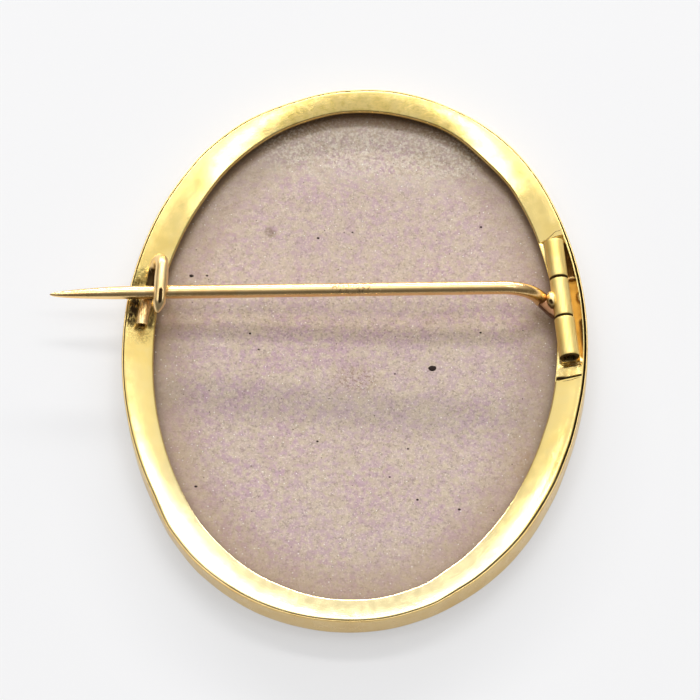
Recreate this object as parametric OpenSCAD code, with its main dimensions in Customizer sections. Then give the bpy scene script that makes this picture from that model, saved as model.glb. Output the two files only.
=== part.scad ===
// Oval brooch with a painted enamel plaque, lying face down with its pin and catch on top.
// Millimetres. Long axis of the oval along Y, back of the brooch facing +Z, table at Z = 0.
// The ovals are four-centre ovals, two side arcs and two end arcs, laid out on a 28:45:53 triangle.

/* [Oval] */
// Length of the gold frame along its long axis
frame_len = 57.9; // [56:0.1:60]
// Width of the gold frame across its short axis
frame_wid = 46.6; // [46:0.1:47.2]
// Length of the opening in the back rim
opening_len = 53.2; // [52.5:0.1:53.6]
// Width of the opening in the back rim
opening_wid = 40.5; // [40:0.1:40.8]

/* [Bezel] */
// Height of the side wall above the table
wall_h = 3.5; // [3.3:0.05:3.5]
// Thickness of the side wall
wall_t = 0.3; // [0.25:0.01:0.32]
// Thickness of the side wall where it is rubbed thin at its back edge
wall_edge_t = 0.12; // [0.1:0.01:0.16]
// Height at which the side wall begins to thin
wall_thin_z = 2.8; // [2.6:0.05:3]
// Width of the front lip, measured from the outside of the wall
lip_w = 1.7; // [1.3:0.05:1.8]
// Height of the front lip at the wall
lip_h = 0.7; // [0.5:0.05:0.75]
// Chamfer round the wall's front edge
front_chamfer = 0.35; // [0.2:0.05:0.5]

/* [Back rim] */
// Height of the rim's outer edge above the table
rim_h = 3.6; // [3.5:0.05:3.7]
// Seam between the rim and the side wall
seam = 0.06; // [0.04:0.01:0.1]
// Fall of the rim from its shoulder to the opening, degrees
rim_fall = 17; // [14:0.5:18]
// Width of the nearly level shoulder at the rim's outer edge
shoulder_w = 1.1; // [0.8:0.1:1.4]
// Fall across the shoulder
shoulder_fall = 0.16; // [0.1:0.01:0.2]
// Rounding at the rim's outer edge
rim_edge = 0.14; // [0.08:0.01:0.2]
// Thickness of the rim's sheet
rim_t = 0.42; // [0.35:0.01:0.45]
// Thickness of the skirt under the rim's outer edge
skirt_t = 0.42; // [0.35:0.01:0.5]
// Height of the skirt's lower edge above the table
skirt_z = 2.55; // [2.5:0.01:2.6]

/* [Plaque] */
// Radius of the plaque's shallow dome
dome_r = 415; // [400:5:450]
// Height of the front dome's crown above the table
crown_z = 0.25; // [0.2:0.01:0.3]
// Thickness of each enamel layer
enamel_t = 0.55; // [0.5:0.01:0.58]
// Gap between the two enamel layers
layer_gap = 0.1; // [0.08:0.01:0.15]
// Gap between the plaque's edge and the side wall
plaque_gap = 0.15; // [0.1:0.01:0.2]

/* [Hinge] */
// Middle of the hinge tube across the brooch
hinge_x = 20.3; // [20.2:0.05:20.4]
// Middle of the hinge tube along the brooch
hinge_y = 6.9; // [6.5:0.1:7.3]
// Lean of the hinge tube off the long axis, degrees
hinge_lean = 10.8; // [9.5:0.1:12]
// Outer radius of the hinge tube
tube_r = 0.95; // [0.9:0.01:0.95]
// Radius of the bore through the knuckles
bore_r = 0.64; // [0.6:0.01:0.66]
// Radial clearance of the rivet in the bore
rivet_clearance = 0.03; // [0.02:0.01:0.05]
// How far the rivet stops short of the tube's two ends
rivet_recess = 0.9; // [0.3:0.1:1.2]
// Length of the hinge tube
tube_len = 12.95; // [12.5:0.05:13.2]
// Place of the joint between the upper and the middle knuckle, from the tube's middle
upper_joint = 2.37; // [2.2:0.01:2.5]
// Place of the joint between the middle and the lower knuckle, from the tube's middle
lower_joint = -1.87; // [-2:0.01:-1.7]
// Width of the gap at each joint
joint_gap = 0.12; // [0.08:0.01:0.15]
// Upper end of the notch for the hinge, from the tube's middle
notch_top = 7.1; // [6.9:0.1:7.4]
// Lower end of the notch for the hinge, from the tube's middle
notch_bottom = -8.2; // [-8.6:0.1:-7.6]
// Thickness of the rim left standing outside the notch
strip_t = 0.28; // [0.25:0.01:0.35]
// Extra depth of the notch under the middle knuckle
knuckle_relief = 0.2; // [0.15:0.01:0.22]

/* [Pin] */
// Radius of the pin stem
stem_r = 0.68; // [0.64:0.01:0.7]
// Radius of the ball that joins the stem to the middle knuckle
ball_r = 0.52; // [0.48:0.01:0.56]
// Distance of the ball's centre from the hinge axis
ball_reach = 1.15; // [1.1:0.01:1.2]
// Place of the ball along the hinge tube, from the tube's middle
ball_at = 0.28; // [0:0.01:0.5]
// Lean of the stem off the short axis, degrees
stem_lean = 3.9; // [3.5:0.1:4.3]
// Radius of the arch that lifts the stem off the ball
arch_r = 4; // [3.9:0.05:4.1]
// Distance from the ball to the top of the arch
arch_run = 4.75; // [4.7:0.01:4.8]
// Height of the arch's top above the hinge axis
arch_h = 2.58; // [2.5:0.01:2.62]
// Fall of the straight stem towards its point, degrees
stem_fall = 1.9; // [1.8:0.05:1.95]
// Distance from the ball at which the stem begins to thin
taper_start = 36.6; // [36:0.1:37]
// Distance from the ball at which the point begins
point_start = 42.6; // [42:0.1:43]
// Radius of the stem where the point begins
point_r = 0.65; // [0.62:0.01:0.66]
// Distance from the ball to the tip of the point
tip_reach = 50.1; // [49.8:0.1:50.3]
// Radius of the tip
tip_r = 0.06; // [0.04:0.01:0.1]

/* [Catch] */
// Place of the catch's soldered rod across the brooch
rod_x = -21.47; // [-21.6:0.01:-21.4]
// Height of the rod's centre above the table
rod_z = 3.63; // [3.6:0.01:3.66]
// Place of the rod's lower end along the brooch
rod_end_y = 1.0; // [0.8:0.1:1.2]
// Place along the brooch where the catch begins to bend back
bend_y = 6.2; // [6:0.05:6.4]
// Radius of the catch's rod
rod_r = 0.52; // [0.5:0.01:0.54]
// Radius of the catch's bend and upper limb
limb_r = 0.6; // [0.58:0.01:0.62]
// Offset of the upper limb from the rod, across the brooch
limb_offset = 1.71; // [1.6:0.01:1.8]
// Gap between the stem and the upper limb
catch_gap = 0.12; // [0.1:0.01:0.15]
// Length of the straight upper limb
limb_len = 2.9; // [2.7:0.05:3]
// Length of the chisel tip beyond the straight limb
limb_tip = 1.35; // [1.2:0.05:1.5]
// Radius of the catch's tip
limb_tip_r = 0.22; // [0.15:0.01:0.3]

/* [Hidden] */

gold = [0.86, 0.68, 0.30];
rosy_gold = [0.85, 0.62, 0.38];
mauve = [0.67, 0.58, 0.58];
ivory = [0.90, 0.86, 0.80];

// Facets of the long arcs and of the small round stock
arc_fn = 180;
small_fn = 48;
// Facets of the dome's full circle, of which the plaque uses a small part
dome_fn = 3600;

// The layout triangle joins the middle, an end arc's centre and a side arc's centre
tri = [28, 45, 53];
// Length of a wedge's edges, in layout triangles
wedge_span = 1.2;

// An oval is [end radius, end arc's centre, side radius, side arc's centre]
function oval(len, wid) =
    let (k = (len - wid) / 2 / (tri[0] + tri[1] - tri[2]))
    let (end_r = wid / 2 - (tri[2] - tri[1]) * k)
    [end_r, tri[0] * k, end_r + tri[2] * k, tri[1] * k];
function inset(o, t) = [o[0] - t, o[1], o[2] - t, o[3]];

frame = oval(frame_len, frame_wid);
opening = oval(opening_len, opening_wid);
plaque = inset(frame, wall_t + plaque_gap);
notch_limit = inset(frame, wall_edge_t + seam + strip_t);

// Rim section: distances are measured inwards from the outside of the frame
rim_out = wall_edge_t + seam;
skirt_out = wall_t + seam;
rim_reach = 4.6;
rim_inner_drop = (rim_reach - rim_out - shoulder_w) * tan(rim_fall) + shoulder_fall;

// Hinge directions: along the tube, and outwards across it
tube_dir = [-sin(hinge_lean), cos(hinge_lean)];
across_dir = [cos(hinge_lean), sin(hinge_lean)];
hinge_mid = [hinge_x, hinge_y];
ball_pos = hinge_mid + ball_at * tube_dir - ball_reach * across_dir;
seat_bite = 0.08;
seat_z = rim_h - tube_r + seat_bite;
seat_base_z = 2.2;
relief_z = rim_h - tube_r - knuckle_relief;
// How far the seat stands back from the opening, and how far it runs on under the rim
seat_setback = 0.05;
seat_run = 0.4;

// Stem: s is the distance from the ball, measured level along the stem
function stem_z(s) = rim_h + arch_h - (s - arch_run) * tan(stem_fall);
function stem_at(s) = ball_pos - s * [cos(stem_lean), sin(stem_lean)];
arch_foot_angle = 16;
straight_start = arch_run + arch_r * sin(stem_fall);
point_fall = 3.6;
tip_x = stem_at(tip_reach)[0];

// Catch: the upper limb crosses over the stem at limb_x
limb_x = rod_x + limb_offset;
limb_s = (ball_pos[0] - limb_x) / cos(stem_lean);
limb_z = stem_z(limb_s) + stem_r + catch_gap + limb_r;
bend_rise = limb_z - rod_z;
bend_r = norm([limb_offset, bend_rise]) / 2;
bend_lean = atan2(bend_rise, limb_offset);
limb_tip_turn = 22;
rod_hole_r = 0.28;
rod_hole_depth = 0.9;

// The whole stands with the middle of its box at the origin
origin_shift = -(tip_x + frame_wid / 2) / 2;

module placed() {
    translate([origin_shift, 0, 0]) children();
}

// Prism over the sector of the +x side arc
module side_sector(o) {
    linear_extrude(height = 30, center = true)
        polygon([
            [-o[3], 0],
            [-o[3] + tri[1] * wedge_span, tri[0] * wedge_span],
            [-o[3] + tri[1] * wedge_span, -tri[0] * wedge_span]
        ]);
}

// Prism over the sector of the +y end arc
module end_sector(o) {
    linear_extrude(height = 30, center = true)
        polygon([
            [0, o[1]],
            [tri[1] * wedge_span, o[1] + tri[0] * wedge_span],
            [-tri[1] * wedge_span, o[1] + tri[0] * wedge_span]
        ]);
}

// Joins four arcs: the first child about a side arc's centre, the second about an end arc's
module four_arcs(o) {
    for (turn = [0, 180]) {
        rotate([0, 0, turn]) {
            intersection() {
                translate([-o[3], 0, 0]) children(0);
                side_sector(o);
            }
            intersection() {
                translate([0, o[1], 0]) children(1);
                end_sector(o);
            }
        }
    }
}

// Sweeps a section round an oval: x = 0 is the oval's line, negative x is inside it
module sweep_oval(o) {
    four_arcs(o) {
        rotate_extrude($fn = arc_fn) translate([o[2], 0]) children();
        rotate_extrude($fn = arc_fn) translate([o[0], 0]) children();
    }
}

// Solid plate with an oval outline
module oval_plate(o, low, high) {
    four_arcs(o) {
        translate([0, 0, low]) cylinder(r = o[2], h = high - low, $fn = arc_fn);
        translate([0, 0, low]) cylinder(r = o[0], h = high - low, $fn = arc_fn);
    }
}

// Places children at the hinge: x outwards across the tube, y along it, z = 0 on its axis
module at_hinge() {
    translate([hinge_x, hinge_y, rim_h]) rotate([0, 0, hinge_lean]) children();
}

// Straight round stock along y between two places on the hinge axis
module tube_stock(r, from, to) {
    translate([0, from, 0]) rotate([-90, 0, 0]) cylinder(r = r, h = to - from, $fn = small_fn);
}

// Length of tube with its bore
module knuckle(from, to) {
    difference() {
        tube_stock(tube_r, from, to);
        tube_stock(bore_r, from - 1, to + 1);
    }
}

module bezel_section() {
    polygon([
        [-front_chamfer, 0],
        [0, front_chamfer],
        [0, wall_h - wall_edge_t / 2],
        [-wall_edge_t / 2, wall_h],
        [-wall_edge_t, wall_h],
        [-wall_t, wall_thin_z],
        [-wall_t, lip_h],
        [-lip_w, lip_h - 0.12],
        [-lip_w, 0.3],
        [-lip_w + 0.3, 0]
    ]);
}

// Side wall with the narrow front lip under the plaque
module bezel() {
    color(gold) placed() sweep_oval(frame) bezel_section();
}

module rim_section() {
    polygon([
        [-rim_out, rim_h - rim_edge],
        [-rim_out - rim_edge, rim_h],
        [-rim_out - shoulder_w, rim_h - shoulder_fall],
        [-rim_reach, rim_h - rim_inner_drop],
        [-rim_reach, rim_h - rim_inner_drop - rim_t],
        [-rim_out - shoulder_w, rim_h - shoulder_fall - rim_t],
        [-skirt_out - skirt_t, rim_h - rim_t],
        [-skirt_out - skirt_t, skirt_z],
        [-skirt_out, skirt_z],
        [-skirt_out, wall_thin_z],
        [-rim_out, wall_h - wall_edge_t]
    ]);
}

// Dished ring before the hinge and the catch are added
module dished_ring() {
    difference() {
        sweep_oval(frame) rim_section();
        oval_plate(opening, 1, rim_h + 1);
    }
}

// Ground between two places along the hinge, between two ovals
module hinge_ground(outer, inner, low, high, from, to) {
    intersection() {
        at_hinge() translate([-6, from, low - rim_h]) cube([12, to - from, high - low]);
        difference() {
            oval_plate(outer, low - 0.5, high + 0.5);
            oval_plate(inner, low - 1, high + 1);
        }
    }
}

// Hinge seat: a level plate under the notch, cut deeper under the middle knuckle
module hinge_seat() {
    difference() {
        hinge_ground(inset(frame, skirt_out + skirt_t / 2), inset(opening, -seat_setback),
            seat_base_z, seat_z, notch_bottom - seat_run, notch_top + seat_run);
        hinge_ground(frame, inset(opening, 1), relief_z, rim_h,
            lower_joint - joint_gap / 2, upper_joint + joint_gap / 2);
    }
}

// The two knuckles that are soldered into the seat
module fixed_knuckles() {
    at_hinge() {
        knuckle(upper_joint + joint_gap / 2, tube_len / 2);
        knuckle(-tube_len / 2, lower_joint - joint_gap / 2);
    }
}

// Catch: a rod soldered along the rim, bent back over the stem, open towards -y
module catch_hook() {
    translate([rod_x, 0, rod_z]) {
        difference() {
            translate([0, rod_end_y, 0]) rotate([-90, 0, 0])
                cylinder(r = rod_r, h = bend_y - rod_end_y, $fn = small_fn);
            translate([0, rod_end_y - 0.1, 0]) rotate([-90, 0, 0])
                cylinder(r = rod_hole_r, h = rod_hole_depth + 0.1, $fn = small_fn);
        }
        translate([0, bend_y, 0]) {
            sphere(r = limb_r, $fn = small_fn);
            rotate([0, -bend_lean, 0]) {
                translate([bend_r, 0, 0])
                    rotate_extrude(angle = 180, $fn = arc_fn)
                        translate([bend_r, 0]) circle(r = limb_r, $fn = small_fn);
                translate([2 * bend_r, 0, 0]) {
                    rotate([90, 0, 0]) cylinder(r = limb_r, h = limb_len, $fn = small_fn);
                    translate([0, -limb_len, 0]) {
                        sphere(r = limb_r, $fn = small_fn);
                        rotate([90, 0, -limb_tip_turn])
                            cylinder(r1 = limb_r, r2 = limb_tip_r, h = limb_tip, $fn = small_fn);
                    }
                }
            }
        }
    }
}

// Back rim with the parts soldered to it
module back_rim() {
    color(gold) placed() {
        difference() {
            dished_ring();
            hinge_ground(notch_limit, inset(opening, 1), seat_z, rim_h + 1, notch_bottom, notch_top);
            hinge_ground(notch_limit, inset(opening, 1), relief_z, rim_h + 1,
                lower_joint - joint_gap / 2, upper_joint + joint_gap / 2);
        }
        hinge_seat();
        fixed_knuckles();
        catch_hook();
    }
}

module hinge_rivet() {
    rivet_half = tube_len / 2 - rivet_recess;
    color(rosy_gold) placed() at_hinge()
        tube_stock(bore_r - rivet_clearance, -rivet_half, rivet_half);
}

// Stem in its own plane: x runs from the ball towards the point, z up from the hinge axis
module stem() {
    even_len = (taper_start - straight_start) / cos(stem_fall);
    straight_len = (point_start - straight_start) / cos(stem_fall);
    point_len = (tip_reach - point_start) / cos(stem_fall + point_fall);
    translate([arch_run, 0, arch_h - arch_r]) rotate([90, 0, 0])
        rotate([0, 0, 90 - stem_fall])
            rotate_extrude(angle = 90 - arch_foot_angle + stem_fall, $fn = arc_fn)
                translate([arch_r, 0]) circle(r = stem_r, $fn = small_fn);
    translate([straight_start, 0, arch_h - arch_r * (1 - cos(stem_fall))])
        rotate([0, 90 + stem_fall, 0]) {
            rotate_extrude($fn = small_fn)
                polygon([[0, 0], [stem_r, 0], [stem_r, even_len], [point_r, straight_len], [0, straight_len]]);
            translate([0, 0, straight_len]) {
                sphere(r = point_r, $fn = small_fn);
                rotate([0, point_fall, 0])
                    cylinder(r1 = point_r, r2 = tip_r, h = point_len, $fn = small_fn);
            }
        }
}

// Moving pin: middle knuckle, ball and stem
module pin_stem() {
    color(rosy_gold) placed() {
        difference() {
            union() {
                at_hinge() {
                    tube_stock(tube_r, lower_joint + joint_gap / 2, upper_joint - joint_gap / 2);
                    translate([-ball_reach, ball_at, 0]) sphere(r = ball_r, $fn = small_fn);
                }
                translate([ball_pos[0], ball_pos[1], rim_h])
                    rotate([0, 0, 180 + stem_lean]) stem();
            }
            at_hinge() tube_stock(bore_r, -tube_len, tube_len);
        }
    }
}

// Shallow domed layer between two spheres, its crown towards the front
module domed_layer(low) {
    intersection() {
        rotate_extrude($fn = arc_fn) intersection() {
            difference() {
                translate([0, low + dome_r]) circle(r = dome_r, $fn = dome_fn);
                translate([0, low + enamel_t + dome_r]) circle(r = dome_r, $fn = dome_fn);
            }
            square([frame_len / 2 + 2, rim_h]);
        }
        oval_plate(plaque, 0, rim_h);
    }
}

module painted_enamel() {
    color(ivory) placed() domed_layer(crown_z);
}

module counter_enamel() {
    color(mauve) placed() domed_layer(crown_z + enamel_t + layer_gap);
}

bezel();
back_rim();
hinge_rivet();
pin_stem();
painted_enamel();
counter_enamel();
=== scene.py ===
import math

import bmesh
import bpy
from mathutils import Matrix, Vector, noise
from mathutils.bvhtree import BVHTree


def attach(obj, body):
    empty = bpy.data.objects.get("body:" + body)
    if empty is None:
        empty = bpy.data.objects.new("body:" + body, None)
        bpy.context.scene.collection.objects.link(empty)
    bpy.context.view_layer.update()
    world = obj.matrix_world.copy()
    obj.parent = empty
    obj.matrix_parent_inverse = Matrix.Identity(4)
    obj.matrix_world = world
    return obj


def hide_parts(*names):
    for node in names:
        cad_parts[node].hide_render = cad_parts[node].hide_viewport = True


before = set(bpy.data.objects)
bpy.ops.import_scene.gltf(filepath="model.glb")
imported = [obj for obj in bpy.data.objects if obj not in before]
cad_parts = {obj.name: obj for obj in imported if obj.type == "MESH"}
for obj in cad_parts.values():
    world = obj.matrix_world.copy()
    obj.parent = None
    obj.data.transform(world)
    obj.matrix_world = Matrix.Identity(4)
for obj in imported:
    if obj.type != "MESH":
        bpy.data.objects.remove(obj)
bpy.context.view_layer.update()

# All lengths below are millimetres unless a name says otherwise; meshes are scaled to metres at the end.
mm = 0.001
crispAngle = math.radians(38)  # edges sharper than this stay crisp
shoulderBlend = 2.0  # how softly the rim's shoulder runs into its dished part
upwards = Vector((0, 0, 1))
aboveAll = 9.0  # height that rays are sent down from

oval = {
    "centreX": 3.783,
    "outer": (57.9, 46.6),  # length and width
    "opening": (53.2, 40.5),
}

hinge = {
    "place": Vector((24.083, 6.9, 3.6)),
    "lean": 10.8,
    "tubeR": 0.95,
    "boreR": 0.64,
    "length": 12.95,
    "upperJoint": 2.37,
    "lowerJoint": -1.87,
    "upperShift": -0.16,
    "lowerShift": -0.20,
    "lowerExtra": 0.07,  # the lower knuckle is this much wider in radius
    "jointGap": 0.12,
    "rivetR": 0.61,
    "rivetRecess": 0.9,
    "tubeSteps": 72,
    "rivetSteps": 40,
}
gapHalf = hinge["jointGap"] / 2
tubeHalf = hinge["length"] / 2
middleFrom = hinge["lowerJoint"] - gapHalf
middleTo = hinge["upperJoint"] + gapHalf


# The hinge's own directions: x outwards across the tube, y along it, z up
def hingeMatrix():
    lean = math.radians(hinge["lean"])
    across = Vector((math.cos(lean), math.sin(lean), 0))
    along = Vector((-math.sin(lean), math.cos(lean), 0))
    turn = Matrix((across, along, upwards)).transposed().to_4x4()
    return Matrix.Translation(hinge["place"]) @ turn


def hingePoint(x, y, z=0.0):
    return hingeMatrix() @ Vector((x, y, z - hinge["place"].z))


# An output of a node, with the four plain sums, so that a formula reads as one
class nodeValue:
    def __init__(self, tree, socket):
        self.tree = tree
        self.socket = socket

    def __add__(self, other):
        return calc("ADD", self, other)

    def __sub__(self, other):
        return calc("SUBTRACT", self, other)

    def __mul__(self, other):
        return calc("MULTIPLY", self, other)

    def __truediv__(self, other):
        return calc("DIVIDE", self, other)


# Node helpers
def feed(node, inputs):
    for key, value in inputs.items():
        if isinstance(value, nodeValue):
            value.tree.links.new(value.socket, node.inputs[key])
        else:
            node.inputs[key].default_value = value


def put(tree, kind, inputs=None, out=0, **settings):
    node = tree.nodes.new(kind)
    for key, value in settings.items():
        setattr(node, key, value)
    feed(node, inputs or {})
    return nodeValue(tree, node.outputs[out]) if len(node.outputs) else node


def treeOf(values):
    return next(value.tree for value in values if isinstance(value, nodeValue))


def calc(operation, *values):
    return put(treeOf(values), "ShaderNodeMath", dict(enumerate(values)), operation=operation)


def vecCalc(operation, *values, out="Vector"):
    return put(treeOf(values), "ShaderNodeVectorMath", dict(enumerate(values)), out, operation=operation)


def scaled(vector, factor):
    return put(factor.tree, "ShaderNodeVectorMath", {0: vector, "Scale": factor}, operation="SCALE")


def split(vector):
    first = put(vector.tree, "ShaderNodeSeparateXYZ", {0: vector})
    return [nodeValue(vector.tree, socket) for socket in first.socket.node.outputs]


def mapRange(value, low, high, toLow=0.0, toHigh=1.0):
    inputs = {"Value": value, "From Min": low, "From Max": high, "To Min": toLow, "To Max": toHigh}
    return put(value.tree, "ShaderNodeMapRange", inputs, "Result", interpolation_type="SMOOTHSTEP")


# Mesh helpers
def addObject(name, data):
    made = bpy.data.objects.new(name, data)
    bpy.context.scene.collection.objects.link(made)
    return made


def keepValues(mesh, label, values):
    mesh.attributes.new(label, "FLOAT", "POINT").data.foreach_set("value", values)


def plainMesh(name, points, edges, faces):
    mesh = bpy.data.meshes.new(name)
    mesh.from_pydata(points, edges, faces)
    return mesh


def workOn(mesh):
    work = bmesh.new()
    work.from_mesh(mesh)
    return work


def meshFrom(work, mesh):
    work.to_mesh(mesh)
    work.free()
    return mesh


def lineObject(name, points, thick=None):
    mesh = plainMesh(name, points, [(i, i + 1) for i in range(len(points) - 1)], [])
    if thick:
        keepValues(mesh, "thick", thick)
    return addObject(name, mesh)


# Closed mesh with its faces turned outwards
def closedMesh(name, points, faces):
    mesh = plainMesh(name, points, [], faces)
    work = workOn(mesh)
    bmesh.ops.recalc_face_normals(work, faces=work.faces)
    return meshFrom(work, mesh)


# Works an object's modifiers into a plain mesh and drops the object
def baked(host):
    depsgraph = bpy.context.evaluated_depsgraph_get()
    mesh = bpy.data.meshes.new_from_object(host.evaluated_get(depsgraph), depsgraph=depsgraph)
    host.modifiers.clear()
    bpy.data.objects.remove(host)
    return mesh


def socketId(tree, label):
    for item in tree.interface.items_tree:
        if item.item_type == "SOCKET" and item.in_out == "INPUT" and item.name == label:
            return item.identifier
    raise KeyError(label)


def grownMesh(host, tree, values):
    modifier = host.modifiers.new("grow", "NODES")
    modifier.node_group = tree
    for label, value in values.items():
        modifier[socketId(tree, label)] = value
    return baked(host)


def tidyMesh(mesh):
    work = workOn(mesh)
    bmesh.ops.remove_doubles(work, verts=work.verts, dist=1e-8)
    bmesh.ops.dissolve_degenerate(work, edges=work.edges, dist=1e-9)
    stray = [e for e in work.edges if not e.link_faces]
    bmesh.ops.delete(work, geom=stray, context="EDGES")
    bmesh.ops.recalc_face_normals(work, faces=work.faces)
    for face in work.faces:
        face.smooth = True
    meshFrom(work, mesh)
    mesh.set_sharp_from_angle(angle=crispAngle)
    return mesh


def newPiece(name, mesh, finish):
    mesh.name = name
    mesh.materials.clear()
    mesh.materials.append(finish)
    return addObject(name, mesh)


# Oval geometry: four arcs on a 28:45:53 triangle, as in the CAD
def ovalArcs(size):
    length, width = size
    k = (length - width) / 40
    endR = width / 2 - 8 * k
    return {"endR": endR, "endC": 28 * k, "sideR": endR + 53 * k, "sideC": 45 * k}


# Place seen from the oval's middle, in millimetres
def fromMiddle(point, unit=1.0):
    return Vector((point.x / unit - oval["centreX"], point.y / unit))


# How far inside the oval a place lies
def insideDepth(size, flat):
    arcs = ovalArcs(size)
    side = Vector((flat.x + math.copysign(arcs["sideC"], flat.x), flat.y))
    if abs(side.y) * 45 <= abs(side.x) * 28:
        return arcs["sideR"] - side.length
    end = Vector((flat.x, flat.y - math.copysign(arcs["endC"], flat.y)))
    return arcs["endR"] - end.length


# Keeps each point's distance from an oval, for the finishes
def markDepth(mesh, size, label):
    keepValues(mesh, label, [insideDepth(size, fromMiddle(vert.co, mm)) for vert in mesh.vertices])


# How the frame was bent by hand: degrees round the oval, then millimetres outwards at the wall's top, at its
# foot and at the rim's inner edge, and the width of the seam left between rim and wall
handBend = (
    (-12, 0.00, 0.00, 0.00, 0.10),
    (10, 0.00, 0.00, 0.00, 0.11),
    (24, 0.00, 0.00, 0.00, 0.08),
    (33, 0.00, 0.00, 0.00, 0.03),
    (42, 0.00, 0.00, 0.05, -0.04),
    (52, 0.00, 0.00, 0.00, -0.04),
    (62, 0.00, 0.00, -0.20, -0.04),
    (74, -0.10, -0.10, 0.12, -0.04),
    (85, -0.05, -0.05, 0.00, -0.04),
    (96, -0.20, -0.20, 0.00, -0.04),
    (107, -0.36, -0.30, -0.15, -0.04),
    (120, -0.15, -0.10, -0.25, -0.04),
    (132, 0.00, 0.00, -0.15, -0.04),
    (146, 0.12, 0.10, -0.05, -0.04),
    (165, 0.05, 0.00, 0.00, -0.04),
    (185, 0.00, -0.10, -0.15, -0.04),
    (200, 0.00, -0.20, -0.12, -0.04),
    (221, 0.05, -0.12, -0.08, -0.04),
    (231, 0.42, 0.00, -0.08, -0.04),
    (241, 0.56, 0.20, -0.15, -0.04),
    (256, 0.66, 0.36, 0.00, -0.04),
    (269, 0.62, 0.40, 0.24, -0.04),
    (279, 0.66, 0.40, 0.32, -0.04),
    (288, 0.54, 0.32, 0.22, -0.03),
    (297, 0.26, 0.22, -0.12, 0.00),
    (306, 0.16, 0.24, -0.22, 0.02),
    (316, 0.24, 0.28, -0.10, 0.04),
    (326, 0.24, 0.18, -0.10, 0.06),
    (337, 0.12, 0.02, -0.10, 0.08),
    (348, 0.00, 0.00, 0.00, 0.10),
)
bend = {
    "stillWithin": 5.0,  # nearer the middle than this nothing moves
    "wallTop": 3.5,
    "rimDeep": 2.6,  # the inner edge's share is full this far inside the outer edge
    "fade": 3.0,
}


def smoothShare(share):
    return share * share * (3 - 2 * share)


def clamped(share):
    return min(1.0, max(0.0, share))


def bendAt(turn):
    first = handBend[0][0]
    turn = (turn - first) % 360 + first
    for a, b in zip(handBend, handBend[1:]):
        if turn <= b[0]:
            share = smoothShare((turn - a[0]) / (b[0] - a[0]))
            return [x + (y - x) * share for x, y in zip(a[1:], b[1:])]


def bendMesh(mesh):
    for vert in mesh.vertices:
        flat = fromMiddle(vert.co, mm)
        if flat.length < bend["stillWithin"]:
            continue
        depth = max(0.0, insideDepth(oval["outer"], flat))
        top, foot, inner, _ = bendAt(math.degrees(math.atan2(flat.y, flat.x)))
        outer = foot + (top - foot) * clamped(vert.co.z / mm / bend["wallTop"])
        out = outer + (inner - outer) * min(1.0, depth / bend["rimDeep"])
        if depth > bend["rimDeep"]:
            out *= max(0.0, 1 - (depth - bend["rimDeep"]) / bend["fade"])
        push = flat.normalized() * out * mm
        vert.co.x += push.x
        vert.co.y += push.y


# Starts a node group with named inputs: numbers as given, None for an object
def newTree(name, numbers):
    tree = bpy.data.node_groups.new(name, "GeometryNodeTree")
    kinds = {int: "Int", float: "Float", type(None): "Object"}
    wanted = [("Geometry", "Geometry", None)]
    wanted += [(label, kinds[type(value)], value) for label, value in numbers.items()]
    wanted += [("Finish", "Material", None)]
    for label, kind, value in wanted:
        socket = tree.interface.new_socket(name=label, in_out="INPUT", socket_type="NodeSocket" + kind)
        if value is not None:
            socket.default_value = value
    tree.interface.new_socket(name="Geometry", in_out="OUTPUT", socket_type="NodeSocketGeometry")
    asked = tree.nodes.new("NodeGroupInput").outputs
    return tree, {socket.name: nodeValue(tree, socket) for socket in asked}


def endTree(tree, geometry, finish):
    real = put(tree, "GeometryNodeRealizeInstances", {"Geometry": geometry})
    painted = put(tree, "GeometryNodeSetMaterial", {"Geometry": real, "Material": finish})
    put(tree, "NodeGroupOutput", {0: painted})
    return tree


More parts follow.
